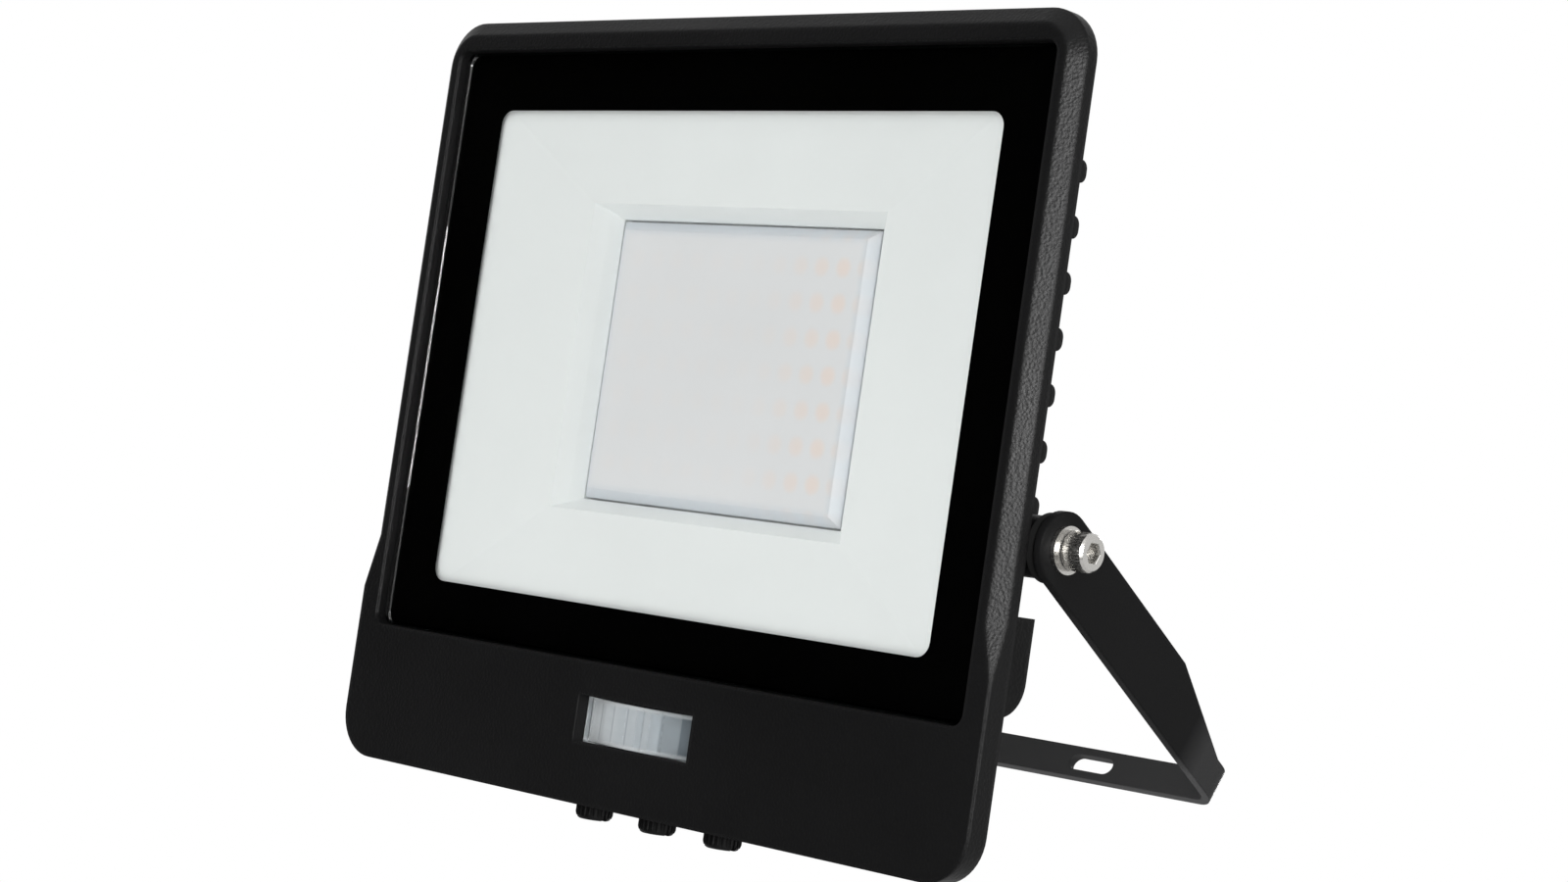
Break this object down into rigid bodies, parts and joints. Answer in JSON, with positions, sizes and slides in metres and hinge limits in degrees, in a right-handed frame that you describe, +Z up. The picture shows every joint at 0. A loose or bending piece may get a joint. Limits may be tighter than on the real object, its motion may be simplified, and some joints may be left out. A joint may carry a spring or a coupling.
{
  "type": "motion sensor floodlight",
  "caption": "Slim rectangular floodlight with a glass front, a motion sensor window below it and setting knobs underneath, carried in a U-shaped wall bracket.",
  "frame": {"origin": "middle of the bracket's wall face, between its two slots", "axes": "+Y into the wall, +Z up, +X along the bracket's bar; the lamp faces -Y, tilted 32 degrees down"},
  "size_m": [0.22, 0.1525, 0.1578],
  "materials": {
    "coat_body": "fine black powder coat on die-cast aluminium",
    "coat_cover": "fine black powder coat on die-cast aluminium",
    "coat_bracket": "black powder coat on folded steel sheet",
    "glass_clear": "toughened sheet glass, printed black behind its border",
    "reflector_white": "white, smooth",
    "cover_opal": "milky diffusing plastic",
    "board_white": "white solder mask on an aluminium board",
    "chip_phosphor": "yellow phosphor in a white frame",
    "board_green": "green solder mask on glass-fibre board",
    "lens_milky": "milky polyethylene, faceted",
    "can_metal": "nickel-plated can",
    "sleeve_metal": "sleeved aluminium can",
    "plastic_black": "fine-grained black nylon",
    "plastic_green": "moulded green plastic",
    "plastic_blue": "moulded blue plastic",
    "disc_fibre": "hard black friction plastic",
    "stainless": "stainless steel",
    "seal_dark": "soft black silicone"
  },
  "bodies": {
    "bracket": {"mounting_bracket": "coat_bracket"},
    "head": {"housing": "coat_body", "rear_cover": "coat_cover", "front_glass": "glass_clear", "glass_seal": "seal_dark", "reflector": "reflector_white", "led_cover": "cover_opal", "led_board": "board_white", "led_chips": "chip_phosphor", "board_screws": "stainless", "pir_lens": "lens_milky", "pir_holder": "plastic_black", "pyro_sensor": "can_metal", "sensor_board": "board_green", "sensor_board_screws": "stainless", "pot_sens": "plastic_blue", "pot_time": "plastic_blue", "pot_lux": "plastic_blue", "shaft_seal": "seal_dark", "rear_cover_seal": "seal_dark", "rear_cover_screws": "stainless", "vent_plug": "plastic_black", "driver_board": "board_green", "driver_screws": "stainless", "driver_capacitor": "sleeve_metal", "terminal_block": "plastic_green", "gland_body": "plastic_black", "gland_cap": "plastic_black", "gland_seal": "seal_dark", "gland_nut": "plastic_black", "pivot_bolt_left": "stainless", "pivot_bolt_right": "stainless", "flat_washer_left": "stainless", "flat_washer_right": "stainless", "spring_washer_left": "stainless", "spring_washer_right": "stainless", "friction_disc_left": "disc_fibre", "friction_disc_right": "disc_fibre"},
    "knob_sens": {"knob_sens": "plastic_black"},
    "knob_time": {"knob_time": "plastic_black"},
    "knob_lux": {"knob_lux": "plastic_black"}
  },
  "joints": [
    {"name": "head_tilt", "type": "hinge", "parent": "bracket", "child": "head", "pos_m": [0, -0.082, 0.004], "axis": [1, 0, 0], "range_deg": [-60, 55]},
    {"name": "knob_sens_turn", "type": "hinge", "parent": "head", "child": "knob_sens", "pos_m": [-0.021, -0.04716, -0.05854], "axis": [0, -0.5299, 0.848], "range_deg": [-135, 135]},
    {"name": "knob_time_turn", "type": "hinge", "parent": "head", "child": "knob_time", "pos_m": [0, -0.04716, -0.05854], "axis": [0, -0.5299, 0.848], "range_deg": [-135, 135]},
    {"name": "knob_lux_turn", "type": "hinge", "parent": "head", "child": "knob_lux", "pos_m": [0.021, -0.04716, -0.05854], "axis": [0, -0.5299, 0.848], "range_deg": [-135, 135]}
  ]
}
